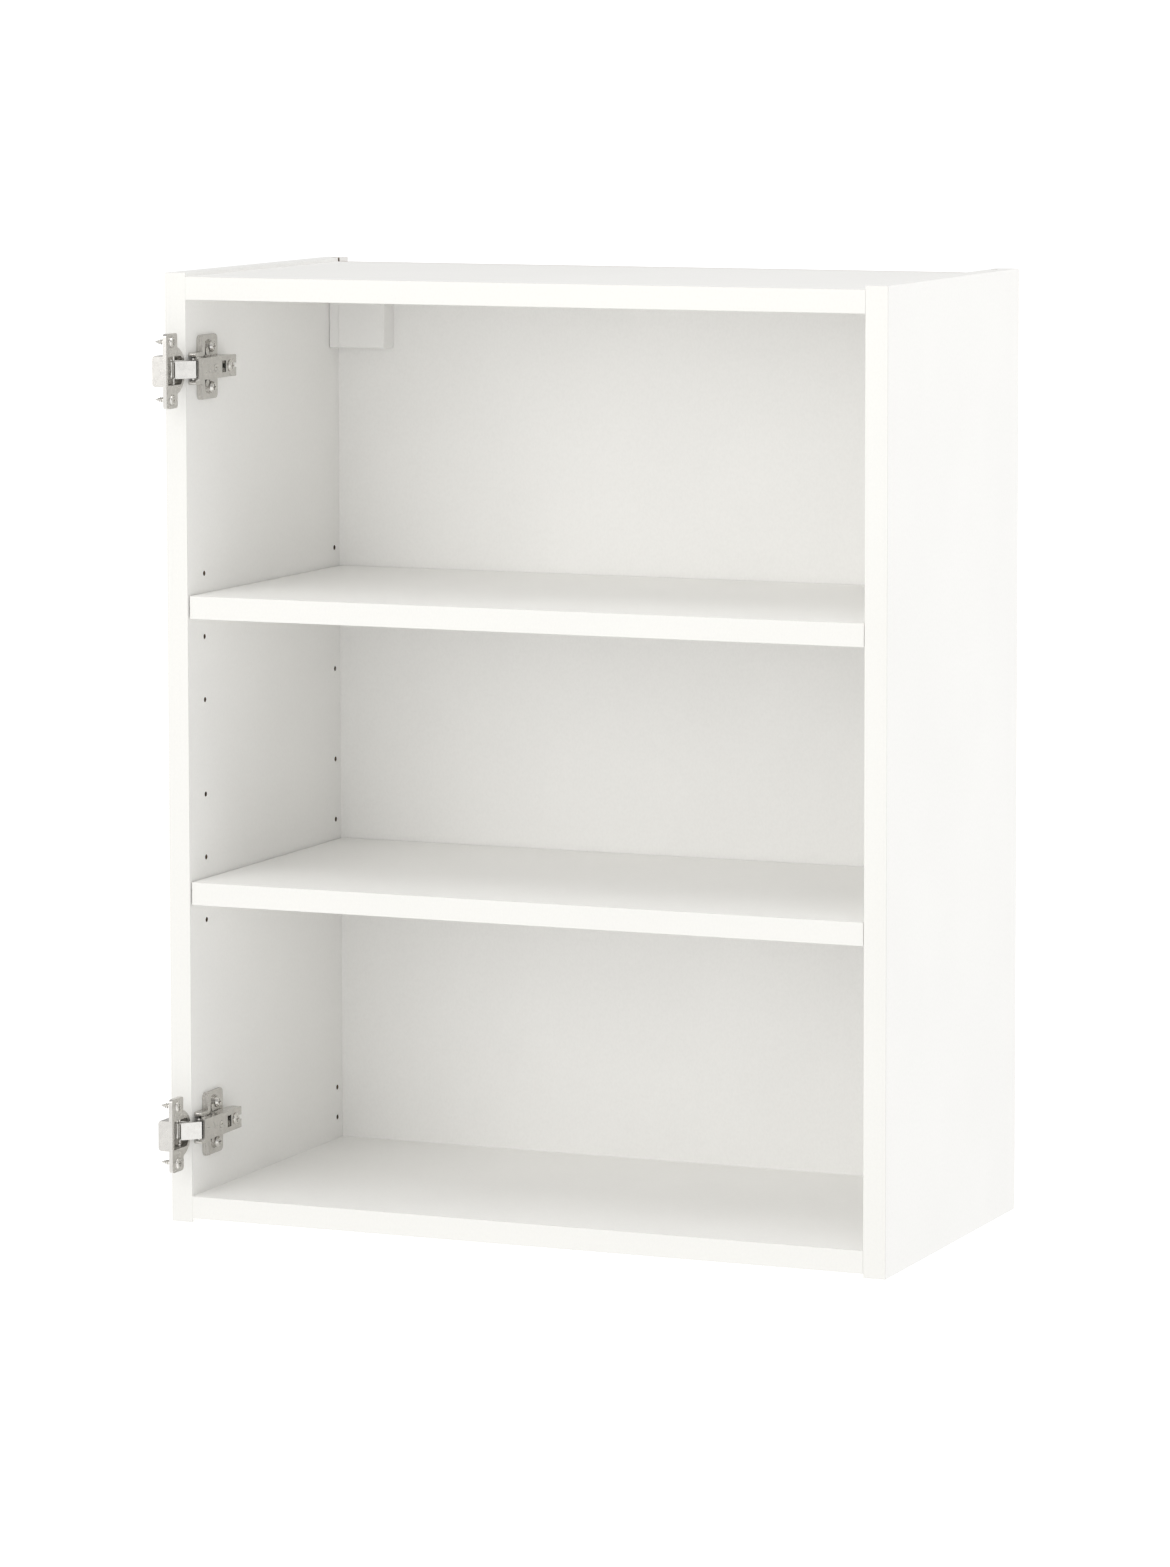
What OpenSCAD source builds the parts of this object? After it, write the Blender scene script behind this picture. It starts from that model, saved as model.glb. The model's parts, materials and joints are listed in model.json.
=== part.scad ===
// Hanging wall cabinet: a white two-shelf carcase, open at the front, with hidden wall hangers
// and two door hinges on the left side that stand open, ready for a door.
// X runs to the right, Y runs back to the wall (the wall is Y = 0), Z is up.
// The origin is on the wall, half-way across, at the height where the hooks bear on the rail.

/* [Carcase] */
// Overall width
cabinet_w = 600; // [500:10:800]
// Overall depth, from the wall to the front edges
cabinet_d = 300; // [290:5:400]
// Overall height
cabinet_h = 750; // [740:10:1000]
// Thickness of the boards
board_t = 18; // [16:0.5:19]
// Thickness of the front edge bands
band_t = 1; // [0.8:0.1:2]
// How far the top and bottom panels sit in from the ends of the sides
panel_inset = 3; // [2:0.5:6]
// Thickness of the back panel
back_t = 3; // [3:0.1:3.6]
// Space between the back panel and the wall
wall_gap = 16; // [14:0.5:20]
// Depth of the side grooves that hold the back panel
groove_depth = 6; // [4:0.5:8]

/* [Shelves] */
// Height of each shelf's middle above or below the middle of the cabinet
shelf_offset = 113; // [100:1:125]
// Gap between a shelf's end and the side panel
shelf_end_gap = 1; // [0.8:0.1:2]
// How far a shelf sits back from the front edges
shelf_setback = 1.7; // [1:0.1:5]
// Diameter of the shelf pins and of the holes they go in
pin_d = 4; // [3:0.5:5]
// Distance from the front to the front row of holes
front_row = 29.5; // [28:0.5:37]
// Distance from the front to the rear row of holes
rear_row = 271; // [265:0.5:272]

/* [Hangers] */
// Height of the rail bearing above the underside
hook_height = 700; // [696:1:704]
// Width of a hanger's cover cap
cap_w = 49.5; // [48:0.5:52]
// Height of a hanger's cover cap
cap_h = 51.5; // [50:0.5:54]
// How far a cover cap stands out from the back panel
cap_depth = 19; // [18:0.5:22]

/* [Hinges] */
// Distance from the middle of the cabinet to each hinge's middle
hinge_offset = 300; // [280:5:300]
// Setback of the hinge plate's screws from the front edge
plate_setback = 37; // [37:1:40]
// Diameter of the hinge cup
cup_d = 34.8; // [34.4:0.1:35]
// Depth of the hinge cup behind the flange's face
cup_depth = 12.6; // [12.4:0.1:13]
// Distance between the two cup screws
cup_screw_pitch = 45; // [42:1:48]

/* [Hidden] */

$fn = 40;
white = "white";
steel = "silver";

// Carcase positions, all seen from the origin on the wall
half_w = cabinet_w / 2;
inner_x = half_w - board_t;
front_y = -cabinet_d;
bottom_z = -hook_height;
mid_z = bottom_z + cabinet_h / 2;
back_front_y = -wall_gap - back_t;
lower_face_z = bottom_z + panel_inset + board_t;
upper_face_z = bottom_z + cabinet_h - panel_inset - board_t;
inner_w = 2 * inner_x;
joint_heights = [lower_face_z - board_t / 2, upper_face_z + board_t / 2];
upper_hinge_z = mid_z + hinge_offset;
lower_hinge_z = mid_z - hinge_offset;

// Shelves
upper_shelf_z = mid_z + shelf_offset;
lower_shelf_z = mid_z - shelf_offset;
shelf_half_w = inner_x - shelf_end_gap;
shelf_front = front_y + shelf_setback + band_t;
shelf_rear = back_front_y - 1;
pin_out = 8;

// Hole rows in the sides, as distances from the middle of the height
pin_rows = [37.5, 87.5, shelf_offset, 137.5];
hanger_rows = [311.25, 336.25];
hole_depth = 10;
screw_hole_d = 5;
screw_hole_depth = 12;
plate_screw_pitch = 32;

// Cam fittings and dowels that join the boards
cam_d = 15;
cam_t = 12.5;
cam_setbacks = [50, 240];
dowel_setbacks = [82, 208];
cam_reach = 24;
cam_bolt_d = 6;
dowel_d = 8;
dowel_l = 32;
fit_gap = 0.05;

// Hanger bracket behind each cover cap, its hook and the screw that lifts the hook
hanger_w = 40;
hanger_h = 43;
hanger_low = bottom_z + hook_height - 19;
hanger_front = back_front_y - 15;
hook_x = -inner_x + 23;
hook_w = 11;
hook_t = 2.5;
hook_stem_y = back_front_y - 8;
hook_stem_half = 12;
hook_nose_y = -3.5;
hook_nose_drop = 8;
hook_slot_w = 20;
hook_slot_h = 34;
lift_screw_x = -inner_x + 34;
lift_screw_z = bottom_z + hook_height + 3;
fixing_head_r = 3.4;

// Hinge mechanism, seen in plan: h is the height above the side panel's inner face,
// d is the distance behind the front edges (negative in front of them)
arm_pin_at = [9, 3];
rear_pin_at = [6, 11];
open_cup_at = [1.8, -24.2];
closed_cup_at = [4, -0.5];
cup_pin_reach = 12.5;
rear_cup_pin_reach = 14.5;
rear_cup_pin_depth = 2.9;
// The cup pin's depth makes the outer link equally long with the hinge open and closed
closed_run = arm_pin_at - closed_cup_at + [cup_pin_reach, 0];
open_run = arm_pin_at - open_cup_at - [0, cup_pin_reach];
cup_pin_depth = (closed_run * closed_run - open_run * open_run) / (2 * (open_run.x - closed_run.y));
cup_pin_at = open_cup_at + [-cup_pin_depth, cup_pin_reach];
rear_cup_pin_at = open_cup_at + [-rear_cup_pin_depth, rear_cup_pin_reach];
outer_link_l = norm(cup_pin_at - arm_pin_at);
inner_link_l = norm(rear_cup_pin_at - rear_pin_at);
hinge_pin_r = 1.1;

// Hinge stampings
arm_front = -2;
arm_rear = 64;
arm_top = 12.5;
arm_half_w = 8.5;
arm_sheet = 1.2;
link_half_w = 6.85;
link_sheet = 0.9;
plate_half_h = 25.3;
plate_sheet = 2.2;
plate_hole_r = 3.1;
flange_t = 3;
flange_far = 13.4;
flange_near = 6.1;
flange_half_h = 29.2;
bulge_r = 18.9;
bulge_offset = 0.8;

// Outline of the outer link's cheeks, along the line between its pins and away from it
link_web = 3.9;
link_cheek = [
    [-1.4, 1.2], [3.2, link_web + 0.5], [outer_link_l + 1.2, link_web + 0.5],
    [outer_link_l + 2.2, link_web - 0.6], [outer_link_l + 1.9, -0.6], [outer_link_l - 2.2, 0],
    [outer_link_l - 5.5, 1.6], [5.5, 1.6], [1.6, -1.2]
];

// Inner link: a bent strip whose elbow keeps clear of the side panel's front corner
inner_link_path = [[0, 0], [5.5, 1.8], [11.2, 5.9], [14, 5], [inner_link_l, 0]];
inner_link_half = 0.9;

// ---------- shared shapes ----------

// A rectangle with round corners, from two corner points
module rounded_plate(low, high, r) {
    translate([low.x + r, low.y])
        square([high.x - low.x - 2 * r, high.y - low.y]);
    translate([low.x, low.y + r])
        square([high.x - low.x, high.y - low.y - 2 * r]);
    for (x = [low.x + r, high.x - r], y = [low.y + r, high.y - r])
        translate([x, y])
            circle(r);
}

// A strip of constant width along a path of points, with slightly swollen elbows
module strip(points, half) {
    for (i = [1:len(points) - 2])
        translate(points[i])
            circle(half + 0.06);
    for (i = [0:len(points) - 2]) {
        run = points[i + 1] - points[i];
        translate(points[i])
            rotate(atan2(run.y, run.x))
                translate([0, -half])
                    square([norm(run), 2 * half]);
    }
}

// Places children drawn in (X, Z) of an upright outline and gives them a length along Y
module upright_xz(y, length) {
    translate([0, y + length, 0])
        rotate([90, 0, 0])
            linear_extrude(length)
                children();
}

// Places children drawn in (Y, Z) and gives them a length along X
module upright_yz(x, length) {
    translate([x, 0, 0])
        rotate([90, 0, 90])
            linear_extrude(length)
                children();
}

// A cylinder that lies along X
module rod_x(r, x, length) {
    translate([x, 0, 0])
        rotate([0, 90, 0])
            cylinder(r = r, h = length);
}

// Mirrors children to the right side as well as drawing them on the left
module both_sides() {
    children();
    mirror([1, 0, 0])
        children();
}

// ---------- carcase ----------

// Left side panel; the right one is its mirror image, drilled the same
module side_panel() {
    color(white)
        difference() {
            translate([-half_w, front_y + band_t, bottom_z])
                cube([board_t, cabinet_d - band_t, cabinet_h]);
            // groove for the back panel, open at both ends
            translate([-inner_x - groove_depth, back_front_y, bottom_z - 1])
                cube([groove_depth + 1, back_t, cabinet_h + 2]);
            for (row = [front_row, rear_row], offset = pin_rows, side = [-1, 1])
                translate([0, front_y + row, mid_z + side * offset])
                    rod_x(pin_d / 2, -inner_x - hole_depth, hole_depth + 1);
            for (offset = hanger_rows, side = [-1, 1])
                translate([0, front_y + rear_row, mid_z + side * offset])
                    rod_x(pin_d / 2, -inner_x - hole_depth, hole_depth + 1);
            for (side = [-1, 1], end = [-1, 1])
                translate([0, front_y + plate_setback, mid_z + side * hinge_offset + end * plate_screw_pitch / 2])
                    rod_x(screw_hole_d / 2, -inner_x - screw_hole_depth, screw_hole_depth + 1);
            side_joint_holes();
        }
}

// Holes in the side's inner face for the cam bolts and the dowels
module side_joint_holes() {
    for (z = joint_heights) {
        for (d = cam_setbacks)
            translate([0, front_y + d, z])
                rod_x(cam_bolt_d / 2, -inner_x - hole_depth - 1, hole_depth + 2);
        for (d = dowel_setbacks)
            translate([0, front_y + d, z])
                rod_x(dowel_d / 2, -inner_x - dowel_l / 2 + 4, dowel_l);
    }
}

// A top or bottom board with its underside at z; cams go in from below
module cross_panel(z) {
    color(white)
        difference() {
            translate([-inner_x, front_y + band_t, z])
                cube([inner_w, cabinet_d - band_t + back_front_y, board_t]);
            both_sides() {
                for (d = cam_setbacks) {
                    translate([-inner_x + cam_reach, front_y + d, z - 1])
                        cylinder(d = cam_d, h = cam_t + 1);
                    translate([0, front_y + d, z + board_t / 2])
                        rod_x(cam_bolt_d / 2, -inner_x - 1, cam_reach + 1);
                }
                for (d = dowel_setbacks)
                    translate([0, front_y + d, z + board_t / 2])
                        rod_x(dowel_d / 2, -inner_x - 1, dowel_l / 2 + 6);
            }
        }
}

module back_panel() {
    slot_z = bottom_z + hook_height;
    color("whitesmoke")
        difference() {
            translate([-inner_x - groove_depth + 0.5, back_front_y, bottom_z + panel_inset])
                cube([inner_w + 2 * groove_depth - 1, back_t, cabinet_h - 2 * panel_inset]);
            // slots that let the hanger hooks through
            both_sides()
                translate([hook_x - hook_slot_w / 2, back_front_y - 1, slot_z - hook_slot_h / 2])
                    cube([hook_slot_w, back_t + 2, hook_slot_h]);
        }
}

// A front edge band: flat behind, with its two front corners rounded, running along Z
module band_profile(width) {
    r = band_t / 2;
    translate([0, -band_t + r])
        square([width, band_t - r]);
    translate([r, -band_t])
        square([width - 2 * r, band_t]);
    for (x = [r, width - r])
        translate([x, -band_t + r])
            circle(r, $fn = 24);
}

module upright_band(x) {
    color(white)
        translate([x, front_y + band_t, bottom_z])
            linear_extrude(cabinet_h)
                band_profile(board_t);
}

module level_band(half_length, y, z) {
    color(white)
        translate([-half_length, y, z])
            rotate([90, 0, 90])
                linear_extrude(2 * half_length)
                    rotate(90)
                        mirror([0, 1])
                            band_profile(board_t);
}

module cam_discs() {
    color(steel)
        for (z = [lower_face_z - board_t, upper_face_z])
            both_sides()
                for (d = cam_setbacks)
                    translate([-inner_x + cam_reach, front_y + d, z])
                        difference() {
                            translate([0, 0, 0.3])
                                cylinder(r = cam_d / 2 - fit_gap, h = cam_t - 0.6);
                            // driver cross in the face
                            for (turn = [0, 90])
                                rotate(turn)
                                    translate([-3.2, -0.6, -0.5])
                                        cube([6.4, 1.2, 3.3]);
                            // pocket that takes the bolt's head
                            translate([0, 0, board_t / 2])
                                rod_x(cam_bolt_d / 2 + 0.3, -cam_d, cam_d + 3.6);
                        }
}

module cam_bolts() {
    color(steel)
        for (z = joint_heights)
            both_sides()
                for (d = cam_setbacks)
                    translate([0, front_y + d, z]) {
                        rod_x(cam_bolt_d / 2 - fit_gap, -inner_x - hole_depth, hole_depth);
                        rod_x(2, -inner_x - 1, cam_reach - 1);
                        rod_x(cam_bolt_d / 2 - fit_gap, -inner_x + cam_reach - 2.5, 3.5);
                    }
}

module wood_dowels() {
    color("burlywood")
        for (z = joint_heights)
            both_sides()
                for (d = dowel_setbacks)
                    translate([0, front_y + d, z])
                        rod_x(dowel_d / 2 - fit_gap, -inner_x - dowel_l / 2 + 4.5, dowel_l);
}

// ---------- shelves ----------

// A loose shelf; a groove along each end slides over the pins and hides them
module shelf(z) {
    groove_r = pin_d / 2 + fit_gap;
    groove_front = front_y + front_row;
    color(white)
        difference() {
            translate([-shelf_half_w, shelf_front, z - board_t / 2])
                cube([2 * shelf_half_w, shelf_rear - shelf_front, board_t]);
            both_sides() {
                translate([-shelf_half_w - 1, groove_front, z - groove_r])
                    cube([pin_out + 1, cabinet_d, 2 * groove_r]);
                translate([0, groove_front, z])
                    rod_x(groove_r, -shelf_half_w - 1, pin_out + 1);
            }
        }
}

module shelf_pins(z) {
    color(steel)
        both_sides()
            for (row = [front_row, rear_row])
                translate([0, front_y + row, z])
                    rod_x(pin_d / 2, -inner_x - hole_depth, hole_depth + pin_out - 0.5);
}

// ---------- hangers ----------

// Bracket screwed to the side panel behind the cover cap, with the hook's guide in it
module hanger_body() {
    color("lightgray")
        difference() {
            translate([-inner_x, hanger_front, hanger_low])
                cube([hanger_w, back_front_y - hanger_front, hanger_h]);
            // guide for the hook
            translate([hook_x - hook_w / 2 - 0.4, back_front_y - 9, hanger_low + 3])
                cube([hook_w + 0.8, 10, hanger_h - 6]);
            // bore for the adjusting screw
            translate([lift_screw_x, back_front_y + 1, lift_screw_z])
                rotate([90, 0, 0])
                    cylinder(r = 2.55, h = 30);
            // recesses and holes for the fixing screws
            for (offset = hanger_rows)
                translate([0, front_y + rear_row, mid_z + offset]) {
                    rod_x(pin_d / 2 + fit_gap, -inner_x - 1, 30);
                    rod_x(fixing_head_r + 0.4, -inner_x + 4, 60);
                }
        }
}

// Steel hook that goes through the back panel and bears on the wall rail
module hook() {
    color(steel)
        upright_yz(hook_x - hook_w / 2, hook_w) {
            translate([hook_stem_y, bottom_z + hook_height - hook_stem_half])
                square([hook_t, 2 * hook_stem_half]);
            translate([hook_stem_y, bottom_z + hook_height])
                square([hook_nose_y - hook_stem_y, hook_t + 2]);
            translate([hook_nose_y - hook_t, bottom_z + hook_height - hook_nose_drop])
                square([hook_t, hook_nose_drop + hook_t]);
        }
}

// Front-facing screw that raises and lowers the hook
module hanger_screw() {
    color(steel)
        translate([lift_screw_x, back_front_y - 1, lift_screw_z])
            rotate([90, 0, 0])
                difference() {
                    union() {
                        cylinder(r = 2.5, h = 14.1);
                        translate([0, 0, 14.05])
                            cylinder(r = 3.8, h = 1.2);
                    }
                    for (turn = [0, 90])
                        rotate(turn)
                            translate([-2.2, -0.4, 13.6])
                                cube([4.4, 0.8, 3]);
                }
}

// Cover cap over the hanger: a hollow box, open at the back and against the side panel
module hanger_cap() {
    wall = 1.5;
    low = upper_face_z - cap_h;
    step_x = 9;
    cap_front = back_front_y - cap_depth;
    color("white")
        difference() {
            union() {
                translate([-inner_x + 0.3, cap_front + 0.8, low])
                    cube([cap_w - 0.3, cap_depth - 0.8, cap_h - 0.3]);
                translate([-inner_x + step_x, cap_front, low + 0.8])
                    cube([cap_w - step_x - 0.8, 1, cap_h - 2]);
            }
            translate([-inner_x - 1, cap_front + 0.8 + wall, low + wall])
                cube([cap_w - wall + 1, cap_depth, cap_h - 2 * wall - 0.3]);
        }
}

module hanger_fixing_screws() {
    color(steel)
        both_sides()
            for (offset = hanger_rows)
                translate([0, front_y + rear_row, mid_z + offset]) {
                    rod_x(pin_d / 2, -inner_x - hole_depth + 0.5, hole_depth + 4);
                    rod_x(fixing_head_r, -inner_x + 4, 2.2);
                }
}

// ---------- hinges ----------

// Puts a hinge drawn in its own plan (h, d) on the left side panel at a height
module on_side(z) {
    translate([-inner_x, front_y, z])
        children();
}

// A plate or pin lying across the hinge, between two heights on both sides of its middle
module both_cheeks(inner, outer) {
    for (side = [-1, 1])
        translate([0, 0, side > 0 ? inner : -outer])
            linear_extrude(outer - inner)
                children();
}

// Cross-shaped mounting plate with its two wings and the rail that the arm clips over
module mounting_plate(z) {
    ridge = 5;
    color(steel)
        on_side(z)
            difference() {
                union() {
                    upright_yz(0, plate_sheet)
                        rounded_plate([18.5, -plate_half_h], [51.5, plate_half_h], 4);
                    // pressed ridge along the front of both wings
                    for (end = [-1, 1])
                        upright_yz(plate_sheet, 2.6)
                            rounded_plate([19.3, end > 0 ? 9.3 : -24.4], [19.3 + ridge, end > 0 ? 24.4 : -9.3], 2);
                    // front nose beside the arm
                    for (end = [-1, 1])
                        upright_yz(0, 6.5)
                            rounded_plate([4, end > 0 ? 9.2 : -12.6], [18.8, end > 0 ? 12.6 : -9.2], 1.5);
                    // bosses round the fixing screws and the height eccentrics
                    for (end = [-1, 1]) {
                        translate([0, plate_setback, end * plate_screw_pitch / 2])
                            rod_x(5.4, 0, 3.4);
                        translate([0, 29.5, end * 12.6])
                            rod_x(2.9, 0, 4.4);
                    }
                    // rail under the arm
                    upright_yz(0, 8.2)
                        rounded_plate([17, -6.6], [60, 6.6], 1.5);
                }
                for (end = [-1, 1])
                    translate([0, plate_setback, end * plate_screw_pitch / 2])
                        rod_x(plate_hole_r, -1, 12);
                // curved slots beside the eccentrics
                for (end = [-1, 1])
                    translate([0, 29.5, end * 12.6])
                        difference() {
                            rod_x(4.6, 1, 12);
                            rod_x(2.9, 0, 14);
                            translate([0, 0, -10])
                                cube([14, 10, 20]);
                        }
                // bores for the arm's screws
                translate([0, 53.5, 0])
                    rod_x(2.1, -1, 12);
                translate([0, 27.6, 0])
                    rod_x(2.1, -1, 12);
            }
}

// Pan-head screw whose driver recess is a cross; the head faces +X
module cross_screw(shank_r, shank_l, head_r, head_h, slot) {
    rod_x(shank_r, -shank_l, shank_l);
    difference() {
        rotate([0, 90, 0])
            rotate_extrude()
                polygon([[0, 0], [head_r, 0], [head_r, head_h * 0.45], [head_r * 0.72, head_h], [0, head_h]]);
        for (turn = [0, 90])
            rotate([turn, 0, 0])
                translate([head_h - slot.y, -slot.x / 2, -0.5])
                    cube([slot.y + 1, slot.x, 1]);
    }
}

module plate_screws(z) {
    color(steel)
        on_side(z)
            for (end = [-1, 1])
                translate([3.45, plate_setback, end * plate_screw_pitch / 2])
                    cross_screw(2.45, 3.45 + 11, 4.5, 3.1, [5, 1.8]);
}

// Channel-shaped hinge arm, clipped over the plate's rail
module hinge_arm(z) {
    cheek_in = arm_half_w - arm_sheet;
    color(steel)
        on_side(z)
            difference() {
                union() {
                    upright_yz(arm_top - arm_sheet, arm_sheet)
                        rounded_plate([arm_front, -arm_half_w], [arm_rear, arm_half_w], 1.2);
                    both_cheeks(cheek_in, arm_half_w)
                        polygon([
                            [arm_top - 0.4, arm_front + 1.2], [arm_top - 0.4, arm_rear - 1.2],
                            [5.4, arm_rear - 1.2], [3.2, 56], [2.6, 20], [2.6, 9], [5.4, 0.2],
                            [7.6, arm_front + 1.2]
                        ]);
                }
                // pin holes
                for (at = [arm_pin_at, rear_pin_at])
                    translate([at.x, at.y, -20])
                        cylinder(r = hinge_pin_r, h = 40);
                // window, round hole of the side adjustment and rear slot of the fixing screw
                translate([arm_top - 3, 39, -4.6])
                    cube([6, 6.6, 9.2]);
                translate([0, 27.6, 0])
                    rod_x(2.9, arm_top - 4, 8);
                translate([0, 53.5, 0])
                    rod_x(2.4, arm_top - 4, 8);
                translate([arm_top - 4, 53.5, -1.8])
                    cube([8, 20, 3.6]);
            }
}

// Side-adjusting screw and the arm's fixing screw
module arm_screws(z) {
    color(steel)
        on_side(z) {
            translate([arm_top - arm_sheet + 0.1, 27.6, 0]) {
                rod_x(2, -8.4, 8.4);
                difference() {
                    rod_x(2.7, 0, 1.3);
                    translate([0.5, -3, -0.4])
                        cube([2, 6, 0.8]);
                }
            }
            translate([arm_top + 0.05, 53.5, 0])
                cross_screw(2, 9.5, 4.8, 1.8, [5.2, 1.2]);
        }
}

module arm_pins(z) {
    color(steel)
        on_side(z)
            for (at = [arm_pin_at, rear_pin_at])
                translate([at.x, at.y, 0]) {
                    cylinder(r = hinge_pin_r, h = 2 * arm_half_w + 0.6, center = true);
                    for (side = [-1, 1])
                        translate([0, 0, side * (arm_half_w + 0.3)])
                            cylinder(r = 1.9, h = 0.6, center = true);
                }
}

// Places children drawn along a link on the plan, from one pin towards another
module along(from, to) {
    run = to - from;
    translate([from.x, from.y, 0])
        rotate([0, 0, atan2(run.y, run.x)])
            children();
}

// Channel-shaped outer link between the arm and the cup
module outer_link(z) {
    color(steel)
        on_side(z)
            along(arm_pin_at, cup_pin_at)
                difference() {
                    union() {
                        both_cheeks(link_half_w - link_sheet, link_half_w) {
                            polygon(link_cheek);
                            circle(2);
                            translate([outer_link_l, 0])
                                circle(2.4);
                        }
                        translate([3.2, link_web, -link_half_w])
                            cube([outer_link_l - 2.8, 1, 2 * link_half_w]);
                    }
                    for (s = [0, outer_link_l])
                        translate([s, 0, -20])
                            cylinder(r = hinge_pin_r + fit_gap, h = 40);
                }
}

// Bent inner link between the arm and the cup
module inner_link(z) {
    color(steel)
        on_side(z)
            along(rear_pin_at, rear_cup_pin_at)
                difference() {
                    translate([0, 0, -link_half_w + link_sheet + 0.45])
                        linear_extrude(2 * (link_half_w - link_sheet - 0.45)) {
                            strip(inner_link_path, inner_link_half);
                            circle(2);
                            translate([inner_link_l, 0])
                                circle(1.4);
                        }
                    translate([0, 0, -20])
                        cylinder(r = hinge_pin_r + fit_gap, h = 40);
                    translate([inner_link_l, 0, -20])
                        cylinder(r = 0.85, h = 40);
                }
}

// Cup with its screw flange, drawn open: the flange faces +X and its near edge is towards the cabinet
module hinge_cup(z) {
    wall = 1;
    half_w = 12.2;
    color(steel)
        on_side(z)
            translate([open_cup_at.x, open_cup_at.y, 0])
                difference() {
                    union() {
                        // flange: two ears and a round bulge
                        upright_yz(-flange_t, flange_t)
                            rounded_plate([-flange_far, -flange_half_h], [flange_near, flange_half_h], 2.5);
                        intersection() {
                            translate([0, bulge_offset, 0])
                                rod_x(bulge_r, -flange_t, flange_t);
                            translate([-flange_t, -flange_far, -bulge_r])
                                cube([flange_t, 40, 2 * bulge_r]);
                        }
                        // cup body with round lower edges
                        intersection() {
                            rod_x(cup_d / 2, -cup_depth, cup_depth);
                            upright_xz(-flange_far + 0.6, 40)
                                rounded_plate([-cup_depth, -half_w], [3, half_w], 2.8);
                            translate([-cup_depth, -20, -half_w])
                                cube([cup_depth, 40, 2 * half_w]);
                        }
                    }
                    // inside of the cup
                    intersection() {
                        rod_x(cup_d / 2 - wall, wall - cup_depth, cup_depth);
                        upright_xz(-10.4, 40)
                            rounded_plate([wall - cup_depth, wall - half_w], [3, half_w - wall], 2);
                    }
                    // notch that lets the links out towards the cabinet
                    translate([-11, 6, -7.35])
                        cube([12, 20, 14.7]);
                    // pin holes in the cup's walls
                    translate([-cup_pin_depth, cup_pin_reach, -20])
                        cylinder(r = hinge_pin_r, h = 40);
                    for (end = [-1, 1])
                        translate([0, (flange_near - flange_far) / 2, end * cup_screw_pitch / 2])
                            rod_x(2.1, -5, 10);
                }
}

// Pin that joins the outer link to the cup
module cup_pins(z) {
    pin_half = sqrt(pow(cup_d / 2, 2) - pow(cup_pin_reach + hinge_pin_r, 2)) - 0.2;
    color(steel)
        on_side(z)
            translate([open_cup_at.x, open_cup_at.y, 0])
                translate([-cup_pin_depth, cup_pin_reach, 0])
                    cylinder(r = hinge_pin_r, h = 2 * pin_half, center = true);
}

// Wood screws that hold the cup to a door, with coarse threads
module cup_screws(z) {
    rib = 1.5;
    length = 10.6;
    color(steel)
        on_side(z)
            translate([open_cup_at.x, open_cup_at.y + (flange_near - flange_far) / 2, 0])
                for (end = [-1, 1])
                    translate([0, 0, end * cup_screw_pitch / 2]) {
                        translate([0.02, 0, 0])
                            cross_screw(2.05, 4, 4.2, 1.6, [4.6, 1.1]);
                        rotate([0, -90, 0])
                            translate([0, 0, flange_t])
                                rotate_extrude()
                                    polygon(thread_outline(length, rib));
                    }
}

// Outline of a coarse thread that narrows to a point over its last ribs
function thread_outline(length, rib) = concat(
    [[0, 0]],
    [for (s = [0:rib:length - rib]) each [[thread_r(s, length) - 0.75, s], [thread_r(s, length), s + rib / 2]]],
    [[thread_r(length, length) - 0.75, length - 0.2], [0, length + 1.6]]
);

function thread_r(s, length) = s < 0.6 * length ? 2.3 : 2.3 - (s - 0.6 * length) / (0.4 * length) * 0.9;

side_panel();  // side_panel_left
mirror([1, 0, 0]) side_panel();  // side_panel_right
cross_panel(upper_face_z);  // top_panel
cross_panel(lower_face_z - board_t);  // bottom_panel
back_panel();
upright_band(-half_w);  // edge_band_side_left
upright_band(inner_x);  // edge_band_side_right
level_band(inner_x, front_y + band_t, upper_face_z);  // edge_band_top
level_band(inner_x, front_y + band_t, lower_face_z - board_t);  // edge_band_bottom
cam_discs();
cam_bolts();
wood_dowels();
shelf(upper_shelf_z);  // shelf_upper
shelf(lower_shelf_z);  // shelf_lower
level_band(shelf_half_w, shelf_front, upper_shelf_z - board_t / 2);  // edge_band_shelf_upper
level_band(shelf_half_w, shelf_front, lower_shelf_z - board_t / 2);  // edge_band_shelf_lower
shelf_pins(upper_shelf_z);  // shelf_pins_upper
shelf_pins(lower_shelf_z);  // shelf_pins_lower
hanger_body();  // hanger_body_left
mirror([1, 0, 0]) hanger_body();  // hanger_body_right
hook();  // hanger_hook_left
mirror([1, 0, 0]) hook();  // hanger_hook_right
hanger_screw();  // hanger_screw_left
mirror([1, 0, 0]) hanger_screw();  // hanger_screw_right
hanger_cap();  // hanger_cap_left
mirror([1, 0, 0]) hanger_cap();  // hanger_cap_right
hanger_fixing_screws();
mounting_plate(upper_hinge_z);  // plate_upper
mounting_plate(lower_hinge_z);  // plate_lower
plate_screws(upper_hinge_z);  // plate_screws_upper
plate_screws(lower_hinge_z);  // plate_screws_lower
hinge_arm(upper_hinge_z);  // arm_upper
hinge_arm(lower_hinge_z);  // arm_lower
arm_screws(upper_hinge_z);  // arm_screws_upper
arm_screws(lower_hinge_z);  // arm_screws_lower
arm_pins(upper_hinge_z);  // arm_pins_upper
arm_pins(lower_hinge_z);  // arm_pins_lower
outer_link(upper_hinge_z);  // outer_link_upper
outer_link(lower_hinge_z);  // outer_link_lower
inner_link(upper_hinge_z);  // inner_link_upper
inner_link(lower_hinge_z);  // inner_link_lower
hinge_cup(upper_hinge_z);  // cup_upper
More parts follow.
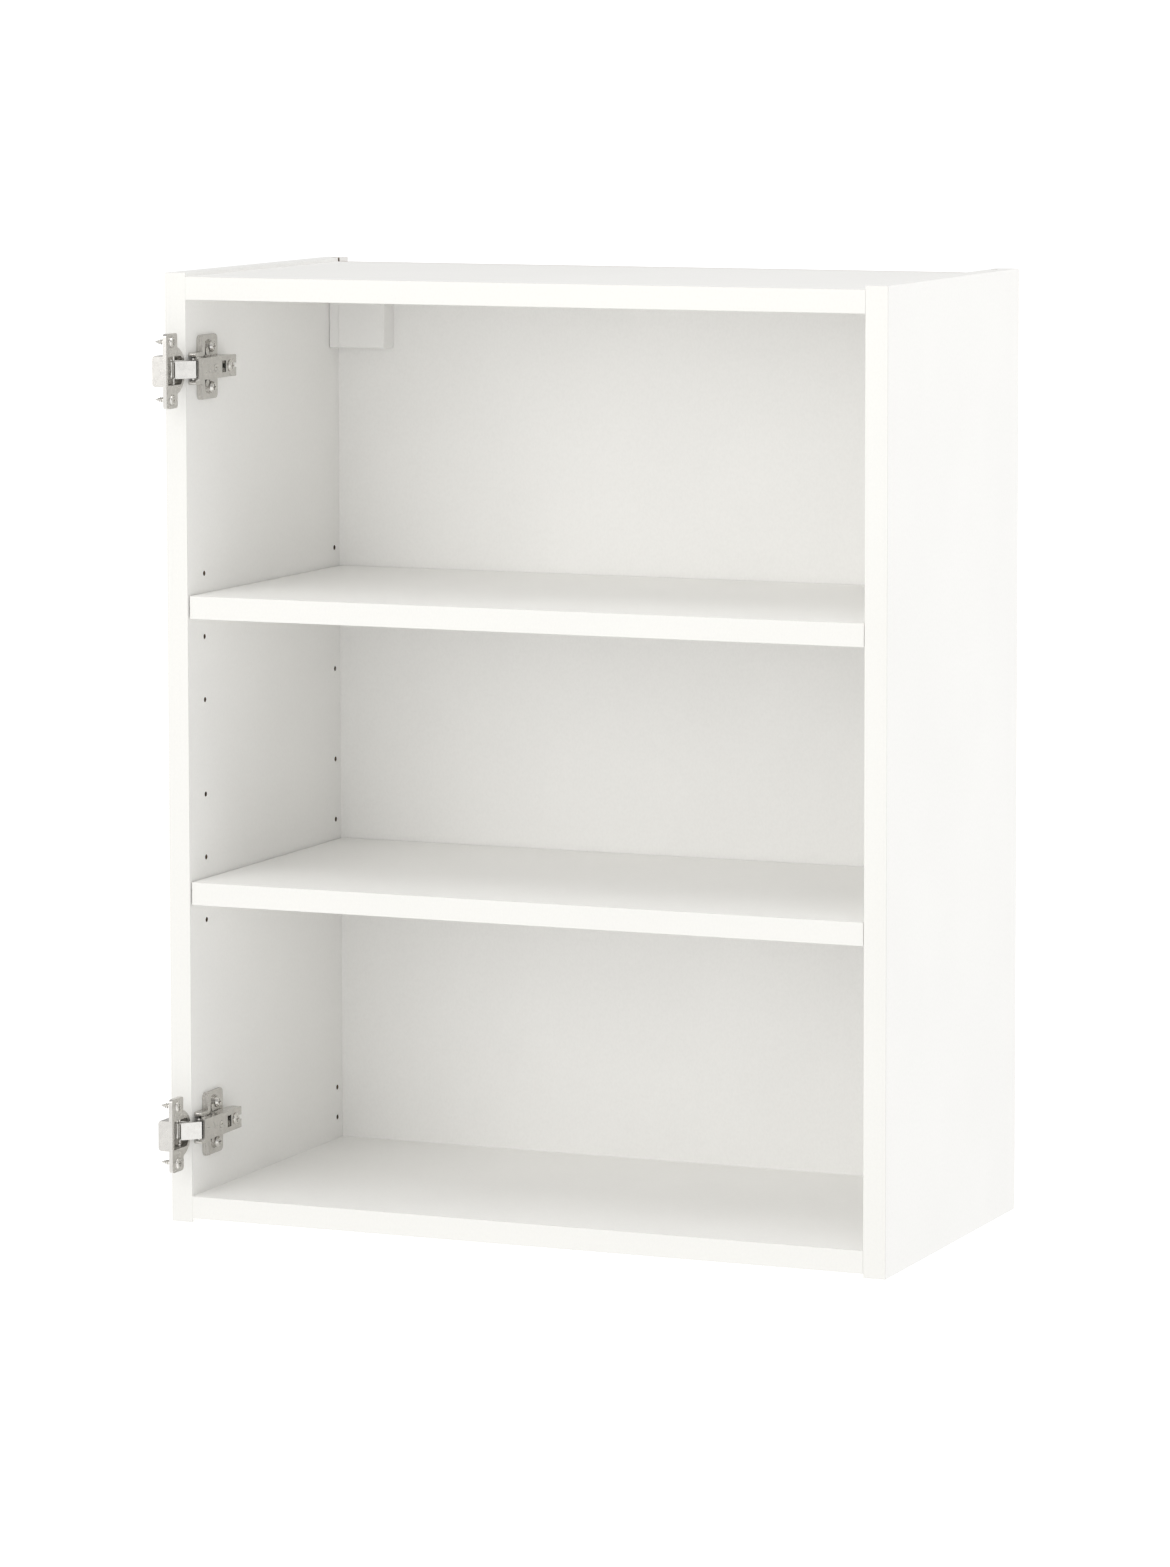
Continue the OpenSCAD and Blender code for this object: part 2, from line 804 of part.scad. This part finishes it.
hinge_cup(lower_hinge_z);  // cup_lower
cup_pins(upper_hinge_z);  // cup_pins_upper
cup_pins(lower_hinge_z);  // cup_pins_lower
cup_screws(upper_hinge_z);  // cup_screws_upper
cup_screws(lower_hinge_z);  // cup_screws_lower
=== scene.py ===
"""Hanging wall cabinet: white melamine boards with edge bands, cover caps and satin nickel cup hinges."""

import json
import math

import bmesh
import bpy
from mathutils import Euler, Matrix, Vector


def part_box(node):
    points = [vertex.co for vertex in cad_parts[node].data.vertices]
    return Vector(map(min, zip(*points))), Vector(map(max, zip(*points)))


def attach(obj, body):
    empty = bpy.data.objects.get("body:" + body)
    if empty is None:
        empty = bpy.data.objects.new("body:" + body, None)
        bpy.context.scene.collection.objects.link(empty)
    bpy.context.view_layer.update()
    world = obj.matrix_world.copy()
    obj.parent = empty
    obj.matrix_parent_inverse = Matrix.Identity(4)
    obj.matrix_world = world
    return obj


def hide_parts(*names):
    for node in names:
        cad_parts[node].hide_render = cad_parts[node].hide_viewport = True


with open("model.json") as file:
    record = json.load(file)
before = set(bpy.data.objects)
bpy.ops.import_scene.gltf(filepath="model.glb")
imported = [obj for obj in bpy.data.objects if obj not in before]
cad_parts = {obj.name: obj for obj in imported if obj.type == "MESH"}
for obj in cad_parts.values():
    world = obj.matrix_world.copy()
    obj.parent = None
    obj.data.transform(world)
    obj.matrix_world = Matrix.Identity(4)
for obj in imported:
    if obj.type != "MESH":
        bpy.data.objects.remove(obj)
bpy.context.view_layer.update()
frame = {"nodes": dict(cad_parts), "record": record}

MM = 0.001

# Which body and which material slot each CAD node has
BODY_OF = {
    node: body
    for body, nodes in frame["record"]["behaviour"]["bodies"].items()
    for node in nodes
}
SLOT_OF = {s["node"]: s["material_slot"] for s in frame["record"]["subparts"]}

# Linear colours
WHITE_FOIL = (0.940, 0.934, 0.914)
# The edge band white is painted darker than the foil: painted shade that tones down the strongly lit
# front edges
WHITE_BAND_PAINTED_SHADE = (0.790, 0.784, 0.756)
WHITE_BACK = (0.935, 0.929, 0.910)
WHITE_CAP = (0.920, 0.914, 0.896)
CHIP_DARK = (0.060, 0.040, 0.024)
CHIP_LIGHT = (0.210, 0.150, 0.092)
FIBRE_DARK = (0.205, 0.132, 0.078)
FIBRE_LIGHT = (0.300, 0.205, 0.130)
BEECH_DARK = (0.420, 0.265, 0.140)
BEECH_LIGHT = (0.560, 0.390, 0.225)
SATIN_NICKEL = (0.600, 0.585, 0.558)
PRESSED_NICKEL = (0.640, 0.625, 0.598)
BRIGHT_NICKEL = (0.690, 0.675, 0.645)
POLISHED_NICKEL = (0.730, 0.718, 0.692)
ZINC = (0.600, 0.605, 0.600)
BRACKET_GREY = (0.640, 0.638, 0.620)
FIBRE_SHADE = (0.55, 0.5, 0.45)
UNCHANGED = (1.0, 1.0, 1.0)

# Texture scales, and how far roughness strays from its middle value
CLOUD_SCALE = 9.0
SPECKLE_SCALE = 620.0
LINE_SCALE = 420.0
MARK_SCALE = 160.0
SATIN_SCALE = 230.0
GRAIN_SCALE = 160.0
ROUGHNESS_SPREAD = 0.06
CHIP_BLEND = 0.52
COATING_SHINE = 0.4


# ---------- materials ----------

class Shader:
    """A Principled material and short calls that wire textures into it."""

    def __init__(self, name, colour, roughness, metallic=0.0):
        self.material = bpy.data.materials.new(name)
        self.material.use_nodes = True
        self.tree = self.material.node_tree
        self.shader = self.tree.nodes["Principled BSDF"]
        self.shader.inputs["Base Color"].default_value = (*colour, 1.0)
        self.shader.inputs["Roughness"].default_value = roughness
        self.shader.inputs["Metallic"].default_value = metallic
        self.place = self.tree.nodes.new("ShaderNodeTexCoord").outputs["Object"]
        self.material.diffuse_color = (*colour, 1.0)

    def node(self, kind, **values):
        made = self.tree.nodes.new(kind)
        for key, value in values.items():
            if hasattr(made, key):
                setattr(made, key, value)
            else:
                made.inputs[key.replace("_", " ").title()].default_value = value
        return made

    def link(self, out, into):
        self.tree.links.new(out, into)

    def stretched(self, stretch):
        """Object coordinates scaled differently along X, Y and Z."""
        mapping = self.node("ShaderNodeMapping")
        mapping.inputs["Scale"].default_value = stretch
        self.link(self.place, mapping.inputs["Vector"])
        return mapping.outputs["Vector"]

    def noise(self, scale, detail=3.0, roughness=0.5, place=None):
        made = self.node("ShaderNodeTexNoise", scale=scale, detail=detail, roughness=roughness)
        self.link(place or self.place, made.inputs["Vector"])
        return made.outputs["Fac"]

    def cells(self, scale):
        made = self.node("ShaderNodeTexVoronoi", scale=scale)
        self.link(self.place, made.inputs["Vector"])
        return made.outputs["Color"]

    def ramp(self, factor, *stops):
        """Colours or greys between positions: stops are (position, colour)."""
        made = self.node("ShaderNodeValToRGB")
        bar = made.color_ramp.elements
        for i, (position, colour) in enumerate(stops):
            stop = bar[i] if i < 2 else bar.new(position)
            stop.position = position
            stop.color = (*colour, 1.0)
        self.link(factor, made.inputs["Fac"])
        return made.outputs["Color"]

    def between(self, factor, low, high):
        made = self.node("ShaderNodeMapRange")
        made.inputs["To Min"].default_value = low
        made.inputs["To Max"].default_value = high
        self.link(factor, made.inputs["Value"])
        return made.outputs["Result"]

    def colour(self, out):
        self.link(out, self.shader.inputs["Base Color"])

    def rough(self, factor, low, high):
        self.link(self.between(factor, low, high), self.shader.inputs["Roughness"])

    def bump(self, *layers):
        """Height layers (factor, strength, distance), one on another."""
        last = None
        for factor, strength, distance in layers:
            made = self.node("ShaderNodeBump")
            made.inputs["Strength"].default_value = strength
            made.inputs["Distance"].default_value = distance
            self.link(factor, made.inputs["Height"])
            if last:
                self.link(last, made.inputs["Normal"])
            last = made.outputs["Normal"]
        self.link(last, self.shader.inputs["Normal"])


def shade(colour, factor):
    return tuple(channel * factor for channel in colour)


def coated(name, colour, roughness, grain, depth, variation=0.985):
    """Foil, lacquer or moulded plastic: faint clouds, a pale speckle and a fine pressed texture."""
    made = Shader(name, colour, roughness)
    cloud = made.noise(CLOUD_SCALE, 4.0)
    fine = made.noise(grain, 2.0, 0.6)
    speckle = made.noise(SPECKLE_SCALE, 3.0, 0.7, made.stretched((1.0, 1.0, 0.6)))
    blend = made.node("ShaderNodeMix", data_type="RGBA", blend_type="MULTIPLY")
    blend.inputs["Factor"].default_value = 1.0
    made.link(made.ramp(cloud, (0.35, shade(colour, variation)), (0.65, colour)), blend.inputs[6])
    speck = shade(UNCHANGED, 2.0 * variation - 1.0)
    made.link(made.ramp(speckle, (0.36, speck), (0.6, UNCHANGED)), blend.inputs[7])
    made.colour(blend.outputs[2])
    made.rough(fine, roughness - ROUGHNESS_SPREAD, roughness + ROUGHNESS_SPREAD)
    made.bump((fine, 0.25, depth), (made.noise(grain / 6, 2.0), 0.15, depth * 2))
    made.shader.inputs["Specular IOR Level"].default_value = COATING_SHINE
    return made.material


def chipped(name, dark, light, scale):
    """Raw pressed board: flakes and fibres of mixed browns."""
    made = Shader(name, light, 0.9)
    flakes = made.cells(scale)
    fibres = made.noise(scale * 2.2, 5.0, 0.7, made.stretched((1.0, 2.5, 1.0)))
    blend = made.node("ShaderNodeMix", data_type="RGBA", blend_type="MULTIPLY")
    blend.inputs["Factor"].default_value = CHIP_BLEND
    made.link(made.ramp(flakes, (0.1, dark), (0.85, light)), blend.inputs[6])
    made.link(made.ramp(fibres, (0.3, FIBRE_SHADE), (0.7, UNCHANGED)), blend.inputs[7])
    made.colour(blend.outputs[2])
    made.bump((fibres, 0.6, 0.15 * MM), (flakes, 0.4, 0.2 * MM))
    return made.material


def plated(name, colour, smooth, rough, brushing=(1.0, 1.0, 14.0)):
    """Plated steel: satin variation, faint drawing lines and small handling marks."""
    made = Shader(name, colour, (smooth + rough) / 2, metallic=1.0)
    lines = made.noise(LINE_SCALE, 3.0, 0.55, made.stretched(brushing))
    marks = made.noise(MARK_SCALE, 6.0, 0.7)
    made.colour(made.ramp(marks, (0.3, shade(colour, 0.9)), (0.7, shade(colour, 1.06))))
    made.rough(made.noise(SATIN_SCALE, 4.0), smooth, rough)
    made.bump((lines, 0.12, 0.02 * MM), (marks, 0.08, 0.05 * MM))
    return made.material


def grained(name, dark, light):
    """Turned beech: long fine grain along X."""
    made = Shader(name, light, 0.6)
    grain = made.noise(GRAIN_SCALE, 6.0, 0.65, made.stretched((0.12, 1.6, 1.6)))
    made.colour(made.ramp(grain, (0.32, dark), (0.68, light)))
    made.rough(grain, 0.5, 0.7)
    made.bump((grain, 0.4, 0.06 * MM))
    return made.material


MATERIALS = {
    "white_board": coated("white_foil", WHITE_FOIL, 0.46, 1500.0, 0.03 * MM),
    # The edge band's darker white is painted shade over the brightly lit front edges
    "edge_band": coated("white_edge_band_painted_shade", WHITE_BAND_PAINTED_SHADE, 0.40, 1900.0, 0.02 * MM, 0.99),
    "back_board": coated("white_lacquer", WHITE_BACK, 0.52, 1200.0, 0.03 * MM),
    "cap_plastic": coated("white_moulding", WHITE_CAP, 0.36, 2600.0, 0.02 * MM, 0.99),
    "hanger_plastic": coated("grey_moulding", BRACKET_GREY, 0.45, 2600.0, 0.02 * MM),
    "dowel_wood": grained("beech", BEECH_DARK, BEECH_LIGHT),
    "fitting_metal": plated("zinc_casting", ZINC, 0.36, 0.55, (1.0, 1.0, 1.0)),
    "pin_steel": plated("pin_nickel", BRIGHT_NICKEL, 0.20, 0.32),
    "zinc_steel": plated("bright_zinc", ZINC, 0.25, 0.42),
    "hinge_steel": plated("satin_nickel", SATIN_NICKEL, 0.20, 0.32),
    "link_steel": plated("polished_nickel", POLISHED_NICKEL, 0.14, 0.24, (1.0, 14.0, 1.0)),
    "hinge_screws": plated("bright_nickel", BRIGHT_NICKEL, 0.16, 0.28),
}
CUP_NICKEL = plated("cup_nickel", PRESSED_NICKEL, 0.22, 0.34)
CHIPBOARD = chipped("raw_chipboard", CHIP_DARK, CHIP_LIGHT, 520.0)
HARDBOARD = chipped("raw_hardboard", FIBRE_DARK, FIBRE_LIGHT, 900.0)


# ---------- pieces made from the frame ----------

# How far each kind of part is rounded at its edges, in mm, and in how many steps
ROUNDING = {
    "white_board": (0.25, 2),
    "edge_band": (0.12, 2),
    "back_board": (0.15, 2),
    "cap_plastic": (0.6, 3),
    "hanger_plastic": (0.5, 2),
    "dowel_wood": (0.6, 2),
    "fitting_metal": (0.25, 2),
    "pin_steel": (0.3, 3),
    "zinc_steel": (0.3, 2),
    "hinge_steel": (0.32, 3),
    "link_steel": (0.3, 3),
    "hinge_screws": (0.14, 2),
}
WELD_DISTANCE = 0.001 * MM
RAW_MARGIN = 0.2 * MM
FRONT_FACING = -0.5
BEVEL_ANGLE = math.radians(24)
FLAT_ANGLE = math.radians(0.4)


def clean_copy(node):
    """The CAD node's surface as an edited mesh: one vertex per corner, flat faces whole."""
    bm = bmesh.new()
    bm.from_mesh(frame["nodes"][node].data)
    bmesh.ops.remove_doubles(bm, verts=bm.verts, dist=WELD_DISTANCE)
    bmesh.ops.dissolve_limit(bm, angle_limit=FLAT_ANGLE, verts=bm.verts, edges=bm.edges)
    bm.normal_update()
    return bm


def mark_raw(bm, low, high):
    """Gives the second material to faces that lie inside the box: holes and grooves."""
    for face in bm.faces:
        at = face.calc_center_median()
        if all(low[i] + RAW_MARGIN < at[i] < high[i] - RAW_MARGIN for i in range(3)):
            face.material_index = 1


def add_piece(name, bm, body, slot, materials):
    """A visual piece from an edited mesh, with rounded edges, that rides on its body."""
    mesh = bpy.data.meshes.new(name)
    for material in materials:
        mesh.materials.append(material)
    bm.to_mesh(mesh)
    bm.free()
    for layer in ("custom_normal", "sharp_edge", "sharp_face"):
        if layer in mesh.attributes:
            mesh.attributes.remove(mesh.attributes[layer])
    mesh.shade_smooth()
    piece = bpy.data.objects.new(name, mesh)
    bpy.context.scene.collection.objects.link(piece)
    width, steps = ROUNDING[slot]
    bevel = piece.modifiers.new("rounded_edges", "BEVEL")
    bevel.width = width * MM
    bevel.segments = steps
    bevel.limit_method = "ANGLE"
    bevel.angle_limit = BEVEL_ANGLE
    bevel.use_clamp_overlap = True
    bevel.harden_normals = True
    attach(piece, body)
    return piece


def finish_node(node):
    """A finished piece in place of a CAD node: same shape, edges rounded as on the real part."""
    slot = SLOT_OF[node]
    low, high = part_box(node)
    bm = clean_copy(node)
    for face in bm.faces:
        face.material_index = 0
    materials = [MATERIALS[slot]]
    if node.startswith("cup_") and slot == "hinge_steel":
        materials = [CUP_NICKEL]
    if slot == "white_board":
        materials.append(CHIPBOARD)
        mark_raw(bm, low, high)
    if slot == "back_board":
        materials.append(HARDBOARD)
        for face in bm.faces:
            if face.normal.y > FRONT_FACING:
                face.material_index = 1
    piece = add_piece(node + "_finished", bm, BODY_OF[node], slot, materials)
    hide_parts(node)


# Wood screws behind each cup's flange: thread sizes in mm
HEAD_HEIGHT = 1.62
HEAD_RADIUS = 4.2
FLANGE_BACK = 3.0
THREAD_LENGTH = 12.1
THREAD_PITCH = 1.9
THREAD_CORE = 1.45
THREAD_OUTER = 2.28
THREAD_RIDGE_HALF = 0.26
THREAD_TAPER_FROM = 0.5
TAPER_POWER = 0.7
TIP_CORE = 0.04
RIDGE_FADE = 1.3
TIP_RIDGE = 0.05
LEAD_IN = 0.2
SHANK_KEPT = 0.25
THREAD_INSET = 0.2
THREAD_STEPS = 28
RING_GAP = 0.12
THREAD_BEVEL_ANGLE = math.radians(62)
CUT_TOLERANCE = 1e-7


def thread_radius(along, turn):
    """Radius of a coarse wood thread at a distance along it and a part of a turn round it."""
    phase = (along / THREAD_PITCH - turn) % 1.0
    ridge = max(0.0, 1.0 - abs(phase - 0.5) / THREAD_RIDGE_HALF)
    tapered = max(0.0, along / THREAD_LENGTH - THREAD_TAPER_FROM)
    left = 1.0 - tapered / (1.0 - THREAD_TAPER_FROM)
    core = THREAD_CORE * min(1.0, TIP_CORE + left ** TAPER_POWER)
    fade = min(1.0, left * RIDGE_FADE + TIP_RIDGE)
    start = min(1.0, along + LEAD_IN)
    return core + (THREAD_OUTER - THREAD_CORE) * ridge * fade * start


def add_thread(bm, start):
    """A threaded, pointed shank that starts at a place and runs along -X."""
    rings = []
    count = int(THREAD_LENGTH / RING_GAP)
    for i in range(count):
        along = i * RING_GAP
        ring = []
        for j in range(THREAD_STEPS):
            turn = j / THREAD_STEPS
            radius = thread_radius(along, turn) * MM
            angle = turn * math.tau
            ring.append(bm.verts.new((
                start.x - along * MM,
                start.y + radius * math.cos(angle),
                start.z + radius * math.sin(angle),
            )))
        rings.append(ring)
    for near, far in zip(rings, rings[1:]):
        for j in range(THREAD_STEPS):
            k = (j + 1) % THREAD_STEPS
            bm.faces.new((near[j], far[j], far[k], near[k]))
    bm.faces.new(rings[0])
    tip = bm.verts.new((start.x - THREAD_LENGTH * MM, start.y, start.z))
    for j in range(THREAD_STEPS):
        bm.faces.new((rings[-1][j], tip, rings[-1][(j + 1) % THREAD_STEPS]))


def cup_screws(node):
    """Cross-head screws with real helical threads in place of a cup's plain screws."""
    bm = clean_copy(node)
    low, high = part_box(node)
    flange_back = high.x - (HEAD_HEIGHT + FLANGE_BACK) * MM
    cut = flange_back + SHANK_KEPT * MM
    bmesh.ops.bisect_plane(
        bm, geom=bm.verts[:] + bm.edges[:] + bm.faces[:], dist=CUT_TOLERANCE,
        plane_co=(cut, 0, 0), plane_no=(-1, 0, 0), clear_outer=True,
    )
    bmesh.ops.holes_fill(bm, edges=[e for e in bm.edges if e.is_boundary])
    heads_y = (low.y + high.y) / 2
    for z in (low.z + HEAD_RADIUS * MM, high.z - HEAD_RADIUS * MM):
        add_thread(bm, Vector((flange_back + THREAD_INSET * MM, heads_y, z)))
    for face in bm.faces:
        face.material_index = 0
    bmesh.ops.recalc_face_normals(bm, faces=bm.faces)
    slot = SLOT_OF[node]
    piece = add_piece(node + "_threaded", bm, BODY_OF[node], slot, [MATERIALS[slot]])
    piece.modifiers["rounded_edges"].angle_limit = THREAD_BEVEL_ANGLE
    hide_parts(node)


for cad_node in SLOT_OF:
    if cad_node.startswith("cup_screws"):
        cup_screws(cad_node)
    else:
        finish_node(cad_node)


# ---------- stage, light and camera ----------

def plain_material(name, colour, glow):
    made = Shader(name, colour, 0.9)
    made.shader.inputs["Emission Color"].default_value = (1.0, 1.0, 1.0, 1.0)
    made.shader.inputs["Emission Strength"].default_value = glow
    return made.material


FLOOR_DROP = 6.5
FLOOR_SIZE = 3000.0
FLOOR_COLOUR = (0.95, 0.95, 0.95)
FLOOR_GLOW = 0.66
bpy.ops.mesh.primitive_plane_add(size=FLOOR_SIZE, location=(0, 0, -FLOOR_DROP))
floor = bpy.context.object
floor.name = "floor"
floor.data.materials.append(plain_material("pale_floor", FLOOR_COLOUR, FLOOR_GLOW))

# What the lights point at: the middle of the cabinet
CENTRE = Vector((0.0, -0.15, -0.325))


def area_light(name, place, size, power, colour=(1.0, 1.0, 1.0)):
    lamp = bpy.data.lights.new(name, "AREA")
    lamp.shape = "RECTANGLE"
    lamp.size, lamp.size_y = size
    lamp.energy = power
    lamp.color = colour
    holder = bpy.data.objects.new(name, lamp)
    holder.location = place
    holder.rotation_euler = (CENTRE - Vector(place)).to_track_quat("-Z", "Y").to_euler()
    bpy.context.scene.collection.objects.link(holder)


area_light("key_light", (-1.0, -5.1, 1.7), (5.0, 3.4), 107.0, (1.0, 0.995, 0.98))
area_light("side_light", (2.8, 0.5, 2.4), (1.6, 1.6), 22.0)
area_light("top_light", (0.3, -1.2, 3.2), (2.6, 2.0), 33.0)

WORLD_STRENGTH = 0.57
world = bpy.data.worlds.new("studio")
world.use_nodes = True
background = world.node_tree.nodes["Background"]
background.inputs["Color"].default_value = (1.0, 0.998, 0.992, 1.0)
background.inputs["Strength"].default_value = WORLD_STRENGTH
bpy.context.scene.world = world

bpy.context.scene.view_settings.view_transform = "Standard"

# The camera: from the right and a little above, with a long lens
CAMERA_PLACE = (1.9141, -4.7173, 0.2817)
CAMERA_TURN = math.radians(22.8213)
CAMERA_TILT = math.radians(5.4794)
CAMERA_ROLL = math.radians(-0.0975)
CAMERA_LENS = 145.276
CAMERA_SHIFT_Y = -0.13

lens = bpy.data.cameras.new("camera")
lens.sensor_width = 36.0
lens.lens = CAMERA_LENS
lens.shift_y = CAMERA_SHIFT_Y
lens.clip_start = 0.05
lens.clip_end = 4000.0
camera = bpy.data.objects.new("camera", lens)
camera.location = CAMERA_PLACE
aim = Euler((math.pi / 2 - CAMERA_TILT, 0.0, CAMERA_TURN)).to_matrix()
camera.rotation_euler = (aim @ Matrix.Rotation(CAMERA_ROLL, 3, "Z")).to_euler()
bpy.context.scene.collection.objects.link(camera)
bpy.context.scene.camera = camera
